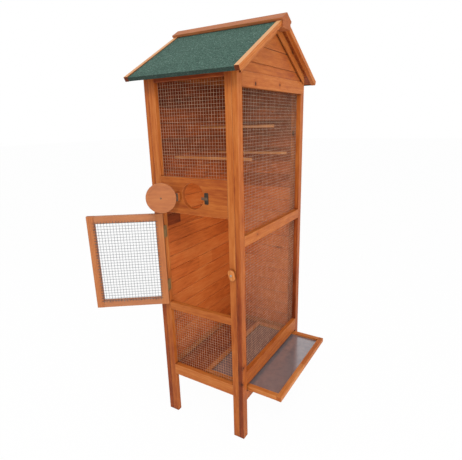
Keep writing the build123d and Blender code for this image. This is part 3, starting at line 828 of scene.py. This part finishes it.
# the sheet's faint pink is partly painted reflection of the stained wood
sheet_zinc = zinc("galvanised_sheet", (0.37, 0.325, 0.33), (0.30, 0.275, 0.29), 0.55, 0.18, spangle=0.05,
                  waves=0.25, grime=0.02)
hinge_zinc = zinc("yellow_zinc", (0.27, 0.165, 0.060), (0.15, 0.09, 0.035), 0.3, 0.50, shine=0.3)
screw_zinc = zinc("dull_zinc", (0.42, 0.39, 0.36), (0.24, 0.22, 0.20), 0.7, 0.42)
brown_steel = zinc("brown_steel", (0.17, 0.10, 0.06), (0.08, 0.045, 0.028), 0.3, 0.50, shine=0.3)
black_steel = zinc("black_steel", (0.050, 0.034, 0.024), (0.020, 0.014, 0.010), 0.1, 0.65, shine=0.2)

metal_pieces = {
    "tray_sheet": sheet_zinc,
    "door_hinge_fixed_leaves": hinge_zinc,
    "door_hinge_moving_leaves": hinge_zinc,
    "hatch_hinge_fixed_leaf": brown_steel,
    "hatch_hinge_moving_leaf": brown_steel,
}
for name, material in metal_pieces.items():
    dress(name, material)
print(len(metal_pieces), "metal pieces finished")

# %% [markdown]
# ## Round wires
# Netting and staples are round wire that follows a line. Blender's curve objects with a bevel can
# do it, but hundreds of curves are slow to manage. A short function lays a six-sided tube along a
# list of points instead, mitred at each bend, and many tubes go in one mesh.

# %% Tubes along lines
def rings_of_faces(rings, spokes):
    """Four-cornered faces between rings of corners that follow each other."""
    return [(ring * spokes + spoke, ring * spokes + (spoke + 1) % spokes,
             (ring + 1) * spokes + (spoke + 1) % spokes, (ring + 1) * spokes + spoke)
            for ring in range(rings - 1) for spoke in range(spokes)]


def tube(points, radius, side, sides=6):
    """Corners and faces of a round wire along a flat line; side is square to the line's plane."""
    points = np.asarray(points, float)
    steps = np.diff(points, axis=0)
    steps /= np.linalg.norm(steps, axis=1)[:, None]
    before = np.vstack([steps[:1], steps])
    after = np.vstack([steps, steps[-1:]])
    tangents = before + after
    tangents /= np.linalg.norm(tangents, axis=1)[:, None]
    stretch = 1 / np.einsum("ij,ij->i", tangents, before)
    side = np.asarray(side, float)
    outward = np.cross(side, tangents)
    outward *= (stretch / np.linalg.norm(outward, axis=1))[:, None]
    angles = np.arange(sides) * 2 * np.pi / sides
    corners = (points[:, None] + radius * (np.cos(angles)[None, :, None] * side
                                           + np.sin(angles)[None, :, None] * outward[:, None]))
    faces = rings_of_faces(len(points), sides)
    faces.append(tuple(reversed(range(sides))))
    faces.append(tuple(range((len(points) - 1) * sides, len(points) * sides)))
    return corners.reshape(-1, 3), faces


print("tubes have six sides")

# %% [markdown]
# ### One object from many parts
# A panel of netting is some eighty wires, and each as an object of its own would be hard to keep
# together. Their corners and faces are listed after one another in a single mesh, which rides on
# one body of the cage and takes the one material it is given.

# %% Joining parts
def mesh_piece(name, parts, material, body, smooth=True):
    """One object from several lists of corners and faces, riding on a body of the cage."""
    corners, faces = [], []
    for part_corners, part_faces in parts:
        start = len(corners)
        corners.extend(map(tuple, part_corners))
        faces.extend(tuple(start + index for index in face) for face in part_faces)
    mesh = bpy.data.meshes.new(name)
    mesh.from_pydata(corners, [], faces)
    mesh.polygons.foreach_set("use_smooth", [smooth] * len(mesh.polygons))
    mesh.materials.append(material)
    mesh.update()
    piece = bpy.data.objects.new(name, mesh)
    bpy.context.scene.collection.objects.link(piece)
    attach(piece, body)
    triangles = sum(len(face) - 2 for face in faces)
    print(name, triangles, "triangles")
    return piece


def as_arrays(*vectors):
    return [np.asarray(vector, float) for vector in vectors]


print("mesh_piece joins corners and faces")

# %% [markdown]
# ## Welded netting
# The netting is 12 mm square mesh of 1 mm wire: uprights against the wood, cross wires
# welded over them, cut straight along its edges so that short ends stick out over the frame.
# The CAD draws every sixth wire. Here each panel gets all its wires in that panel's place, and
# each wire is a touch out of true, because a roll of netting is never quite flat.

# %% Netting
wire_pitch = 0.012
wire_radius = 0.0005
wire_end_gap = 0.0022
cross_wire_depth = 2.8
sway_step = 0.00007
lift_step = 0.00002
most_lift = 0.0001


def netting(name, node, body, material, origin, across, up, inward, width, height, radius=wire_radius):
    """Netting from a corner of the panel, across and up its face; inward points off the frame."""
    chance = np.random.default_rng(len(name) * 7 + int(width * 1e4))
    origin, across, up, inward = as_arrays(origin, across, up, inward)
    parts = []
    for length, breadth, along_axis, other_axis, depth in (
            (height, width, up, across, radius), (width, height, across, up, cross_wire_depth * radius)):
        count = int((breadth - 2 * wire_end_gap) / wire_pitch) + 1
        first = (breadth - (count - 1) * wire_pitch) / 2
        rows = int(length / wire_pitch) + 2
        for number in range(count):
            run = np.linspace(0, length, rows)
            sway = np.cumsum(chance.normal(0, sway_step, rows))
            sway -= np.linspace(sway[0], sway[-1], rows)
            lift = np.abs(np.cumsum(chance.normal(0, lift_step, rows))) * 0.4
            line = (origin + run[:, None] * along_axis
                    + (first + number * wire_pitch + sway)[:, None] * other_axis
                    + (depth + np.minimum(lift, most_lift))[:, None] * inward)
            parts.append(tube(line, radius, inward))
    piece = mesh_piece(name, parts, material, body)
    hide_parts(node)


print("netting at", wire_pitch * 1000, "mm, wire", wire_radius * 2000, "mm thick")

# %% [markdown]
# ### Staples
# The netting is held by staples shot over the wire that runs along each edge, a hand's width
# apart and never quite straight. A staple is three short runs of the same wire: down, across and
# down again. Its legs end just under the wood's face, so that no end is left open to view.

# %% Staples
staple_spacing = 0.062
staple_crown = 0.0095
staple_wire = 0.00045
staple_reach = 0.0026
staple_sink = 0.0012
staple_stray = 0.003
staple_lean = 0.16


def staples(name, body, origin, across, up, inward, width, height, inset=0.0045):
    """Staples round the edge of a panel, each over the wire that runs along that edge."""
    chance = np.random.default_rng(len(name) * 3 + int(height * 1e4))
    origin, across, up, inward = as_arrays(origin, across, up, inward)
    parts = []
    for length, along_axis, other_axis, places in (
            (height, up, across, (inset, width - inset)), (width, across, up, (inset, height - inset))):
        count = max(2, round(length / staple_spacing))
        for place in places:
            for number in range(count):
                run = (number + 0.5) * length / count + chance.normal(0, staple_stray)
                lean = chance.normal(0, staple_lean)
                direction = other_axis * math.cos(lean) + along_axis * math.sin(lean)
                middle = origin + run * along_axis + place * other_axis
                foot, head = middle - inward * staple_sink, middle + inward * staple_reach
                line = [foot - direction * staple_crown / 2, head - direction * staple_crown / 2,
                        head + direction * staple_crown / 2, foot + direction * staple_crown / 2]
                parts.append(tube(line, staple_wire, np.cross(direction, inward)))
    mesh_piece(name, parts, screw_zinc, body)


print("staples every", staple_spacing * 1000, "mm")

# %% [markdown]
# ### The four fixed panels
# Two panels close the front and two the right side, all nailed on from inside or behind a frame. The
# CAD's own panel gives the corner that each starts from, so nothing is measured again here.

# %% Fixed panels of netting
def fixed_panel(node, side):
    """Corner, across, up and inward of a fixed panel, then its width and height."""
    low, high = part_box(node)
    if side == "front":
        return (low.x, low.y, low.z), (1, 0, 0), (0, 0, 1), (0, 1, 0), high.x - low.x, high.z - low.z
    return (high.x, low.y, low.z), (0, 1, 0), (0, 0, 1), (-1, 0, 0), high.y - low.y, high.z - low.z


for side in ("front", "right"):
    for part in ("upper", "lower"):
        name = side + "_" + part
        panel = fixed_panel(name + "_mesh", side)
        netting(name + "_netting", name + "_mesh", "cage", wire_zinc, *panel)
        staples(name + "_staples", "cage", *panel)

# %% [markdown]
# ## The open door and hatch as workbenches
# The door stands open at an angle, and laying wires or screws out in tilted numbers is hard to
# read. So each leaf gets a bench: a point on its hinge line and two directions, along the leaf and
# out of its face. A place on the bench is three plain numbers, turned into the room once.

# %% Benches
class Bench:
    """Numbers along a leaf, up it and out of its outer face, from its hinge line."""

    def __init__(self, joint, angle):
        self.foot = np.array(hinges[joint]["pos_m"])
        self.along = np.array((math.cos(angle), -math.sin(angle), 0))
        self.up = np.array((0.0, 0.0, 1.0))
        self.out = np.array((-math.sin(angle), -math.cos(angle), 0))

    def place(self, along, up, out):
        return self.foot + along * self.along + up * self.up + out * self.out


door = Bench("door_hinge", door_angle)
hatch = Bench("hatch_hinge", hatch_angle)
print("door hinged at", [round(value, 4) for value in door.foot], "hatch at",
      [round(value, 4) for value in hatch.foot])

# %% [markdown]
# ### The door's netting
# The same netting is lapped over the door's frame. Against a bright ground a 1 mm wire all but
# vanishes in a small picture, where the real one reads as a clear dark grid, so this panel's wires
# are drawn a third thicker and darker. Its place comes from the CAD panel's corners on the bench.

# %% Door netting
door_wire_radius = 0.00065
door_mesh_corners = np.array([corner.co for corner in nodes["door_mesh"].data.vertices]) - door.foot
door_u = door_mesh_corners @ door.along
door_w = door_mesh_corners @ door.out
door_z = door_mesh_corners[:, 2]
door_panel = (door.place(door_u.min(), door_z.min(), door_w.max()), door.along, door.up, -door.out,
              door_u.max() - door_u.min(), door_z.max() - door_z.min())
netting("door_netting", "door_mesh", "door", door_zinc, *door_panel, radius=door_wire_radius)
staples("door_staples", "door", *door_panel)
print("door netting", round(float(door_panel[4]), 4), "by", round(float(door_panel[5]), 4))

# %% [markdown]
# ## Screws
# A cross-headed screw is a low dome with a cross pressed into it. The dome is easy to spin, and
# the cross could be cut with a boolean, which leaves a ragged mesh. Here the dome is a fine grid
# of rings, and the corners that fall inside the cross are pushed down, as the punch does.

# %% Screw heads
cross_half_width = 0.13
cross_reach = 0.58
cross_flat = 0.4
cross_floor, cross_slope = 0.35, 0.55
dome_power = 2.6


def beside(out):
    """Two directions square to out and to each other."""
    helper = np.array((0, 0, 1.0)) if abs(out[2]) < 0.9 else np.array((1.0, 0, 0))
    first = np.cross(helper, out)
    first /= np.linalg.norm(first)
    return first, np.cross(out, first)


def screw_head(centre, out, radius, height, turn=0.3, rings=14, spokes=36):
    """A domed head with a cross recess, on a face whose outward direction is out."""
    centre, out = as_arrays(centre, out)
    out = out / np.linalg.norm(out)
    first, second = beside(out)
    corners = [centre + out * height * cross_floor]
    for ring in range(1, rings + 1):
        share = ring / rings
        for spoke in range(spokes):
            angle = 2 * math.pi * spoke / spokes
            x, y = share * math.cos(angle), share * math.sin(angle)
            turned = (x * math.cos(turn) + y * math.sin(turn), y * math.cos(turn) - x * math.sin(turn))
            level = height * math.sqrt(max(0.0, 1 - share ** dome_power))
            near = min(abs(turned[0]), abs(turned[1]))
            far = max(abs(turned[0]), abs(turned[1]))
            if near < cross_half_width and far < cross_reach:
                level = height * (cross_floor if far < cross_flat else cross_slope)
            corners.append(centre + out * level + (x * first + y * second) * radius)
    faces = [(0, 1 + spoke, 1 + (spoke + 1) % spokes) for spoke in range(spokes)]
    for ring in range(rings - 1):
        for spoke in range(spokes):
            here, following = 1 + ring * spokes, (spoke + 1) % spokes
            faces.append((here + spoke, here + spokes + spoke, here + spokes + following, here + following))
    return np.array(corners), faces


def leaf_screws(centres, out, radius=0.0032, height=0.0007):
    """Flat heads in a row, each turned as the driver left it."""
    return [screw_head(centre, out, radius, height, turn=0.4 + 1.1 * number)
            for number, centre in enumerate(centres)]


print("a screw head has", 36 * (2 * 14 - 1), "triangles")

# %% [markdown]
# ### Screws in the door's hinges
# Each butt hinge has two leaves, one on the stile of the cage and one on the door, with two
# countersunk screws each. The heads lie on the leaves' faces, which are a millimetre from the
# hinge line, and their heights come from the door's own stiles, as the hinges' do.

# %% Hinge screws
hinge_inset = 0.079
leaf_face = 0.001
leaf_middle = 0.009
screw_offset = 0.017
stile_low, stile_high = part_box("door_stiles")
jamb_places, door_places = [], []
for height in (stile_low.z + hinge_inset, stile_high.z - hinge_inset):
    for offset in (-screw_offset, screw_offset):
        jamb_places.append((door.foot[0] - leaf_face, door.foot[1] + leaf_middle, height + offset))
        door_places.append(door.place(leaf_face, height + offset, -leaf_middle))
mesh_piece("door_hinge_jamb_screws", leaf_screws(jamb_places, (1, 0, 0)), hinge_zinc, "cage")
mesh_piece("door_hinge_door_screws", leaf_screws(door_places, -door.along), hinge_zinc, "door")

# %% [markdown]
# ### Screws of the hatch
# One screw comes through the middle of the cover and holds the knob on its far side. Two smaller
# ones hold the leaf of the cover's hinge. All three turn with the cover, so they ride on the hatch.

# %% Hatch screws
cover_back = -0.015
hatch_leaf_middle = 0.0115
hatch_leaf_face = -0.0018
hatch_screw_offset = 0.009
knob_screw = screw_head(hatch.place(hatch_centre, 0, cover_back), -hatch.out, 0.0036, 0.0010)
mesh_piece("hatch_knob_screw", [knob_screw], brown_steel, "hatch")
hatch_leaf_places = [hatch.place(hatch_leaf_middle, offset, hatch_leaf_face)
                     for offset in (-hatch_screw_offset, hatch_screw_offset)]
mesh_piece("hatch_leaf_screws", leaf_screws(hatch_leaf_places, hatch.out, 0.0026, 0.0006), brown_steel,
           "hatch")

# %% [markdown]
# ## The turn button's screw
# The button turns on a single screw with a spacer behind it. The CAD has it as three plain
# cylinders. A lathe profile gives the spacer its rounded rim and the head its dome, so the
# piece takes the plain screw's place.

# %% Turned screw
def spun(profile, centre, out, spokes=40):
    """A lathe shape: profile is (radius, distance along out) from first to last."""
    centre, out = as_arrays(centre, out)
    first, second = beside(out)
    corners = []
    for radius, distance in profile:
        for spoke in range(spokes):
            angle = 2 * math.pi * spoke / spokes
            corners.append(centre + out * distance
                           + radius * (math.cos(angle) * first + math.sin(angle) * second))
    return np.array(corners), rings_of_faces(len(profile), spokes)


button_foot = np.array(hinges["button_turn"]["pos_m"])
button_out = (0, -1, 0)
spacer_radius, spacer_shoulder, spacer_waist = 0.0060, 0.0052, 0.0046
spacer_top = 0.0047
shank_radius = 0.0020
button_front = 0.0143
button_head_radius, button_head_height = 0.0045, 0.0025
spacer = [(0.0001, 0), (spacer_radius, 0), (spacer_radius, 0.0009), (spacer_shoulder, 0.0014),
          (spacer_waist, 0.0016), (spacer_waist, 0.0033), (spacer_shoulder, 0.0036),
          (spacer_radius, 0.0040), (spacer_radius, spacer_top), (shank_radius, spacer_top),
          (shank_radius, button_front), (button_head_radius, button_front)]
head_centre = button_foot + np.array(button_out) * button_front
button_screw = mesh_piece("turn_button_dome_screw",
                          [spun(spacer, button_foot, button_out),
                           screw_head(head_centre, button_out, button_head_radius, button_head_height)],
                          screw_zinc, "cage")
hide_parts("turn_button_screw")

# %% [markdown]
# ## The hatch's spring catch
# Right of the hole the picture shows a small dark catch with a grey spring tongue that reaches
# over the hole's edge. The CAD has its plate and nose as two boxes. The plate here has cut corners,
# a softened rim and two screws. A box with a bevel could do, but the corners are rounded far more
# than the rim, so an outline of four arcs is drawn and raised in three levels.

# %% Catch plate
def plate(x_span, z_span, y_span, corner, lip=0.0003, steps=5):
    """A flat plate on the front face with rounded corners and a softened rim."""
    outline = []
    for centre_x, centre_z, start in ((x_span[1] - corner, z_span[1] - corner, 0),
                                      (x_span[0] + corner, z_span[1] - corner, 90),
                                      (x_span[0] + corner, z_span[0] + corner, 180),
                                      (x_span[1] - corner, z_span[0] + corner, 270)):
        for step in range(steps + 1):
            angle = math.radians(start + 90 * step / steps)
            outline.append((centre_x, centre_z, math.cos(angle), math.sin(angle)))
    corners, faces = [], []
    levels = [(y_span[0], 0), (y_span[1] + lip, 0), (y_span[1], lip)]
    for depth, pull in levels:
        for centre_x, centre_z, cosine, sine in outline:
            corners.append((centre_x + (corner - pull) * cosine, depth, centre_z + (corner - pull) * sine))
    count = len(outline)
    for ring in range(len(levels) - 1):
        for index in range(count):
            following = (index + 1) % count
            faces.append((ring * count + index, (ring + 1) * count + index,
                          (ring + 1) * count + following, ring * count + following))
    faces.append(tuple(reversed(range((len(levels) - 1) * count, len(levels) * count))))
    return corners, faces


plate_thickness = 0.0012
plate_corner = 0.004
plate_screw_offset = 0.0165
catch_low, catch_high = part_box("hatch_catch")
catch_middle_x = (catch_low.x + catch_high.x) / 2
catch_middle_z = (catch_low.z + catch_high.z) / 2
plate_front = catch_high.y - plate_thickness
catch_plate = plate((catch_low.x, catch_high.x), (catch_low.z, catch_high.z), (catch_high.y, plate_front),
                    plate_corner)
catch_screws = [screw_head((catch_middle_x, plate_front, catch_middle_z + offset), (0, -1, 0), 0.0034,
                           0.0012, turn=offset * 40) for offset in (-plate_screw_offset, plate_screw_offset)]
catch = mesh_piece("hatch_catch_plate", [catch_plate, *catch_screws], black_steel, "cage",
                   smooth=False)
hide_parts("hatch_catch")

# %% [markdown]
# ### The spring tongue
# A thin strip of spring steel lies on the plate and reaches over the edge of the hole, bowed a
# little so that it presses on the cover when it is shut. A tube would be too thick for it. Four
# corners at each point of a bowed line make a flat strip, closed at both ends.

# %% Tongue
def strip(line, half_width, thickness, middle_z):
    """A flat spring laid along a line of (x, y) points, its ends closed."""
    line = np.asarray(line, float)
    steps = np.gradient(line, axis=0)
    steps /= np.linalg.norm(steps, axis=1)[:, None]
    aside = np.stack([-steps[:, 1], steps[:, 0]], axis=1) * thickness / 2
    corners = []
    for (x, y), (side_x, side_y) in zip(line, aside):
        for sign_aside, sign_up in ((1, 1), (1, -1), (-1, -1), (-1, 1)):
            corners.append((x + side_x * sign_aside, y + side_y * sign_aside,
                            middle_z + half_width * sign_up))
    last = (len(line) - 1) * 4
    faces = rings_of_faces(len(line), 4) + [(3, 2, 1, 0), (last, last + 1, last + 2, last + 3)]
    return corners, faces


tongue_inset = 0.003
tongue_reach = 0.013
tongue_bow = 0.0014
tongue_thickness = 0.0006
tongue_half_width = 0.0055
tongue_start = catch_high.x - tongue_inset
tongue_length = tongue_start - catch_low.x + tongue_reach
tongue_line = [(tongue_start - share * tongue_length,
                plate_front - tongue_thickness - tongue_bow * math.sin(math.pi * share) ** 2)
               for share in np.linspace(0, 1, 13)]
tongue = strip(tongue_line, tongue_half_width, tongue_thickness, catch_middle_z)
mesh_piece("hatch_catch_tongue", [tongue], brown_steel, "cage", smooth=False)
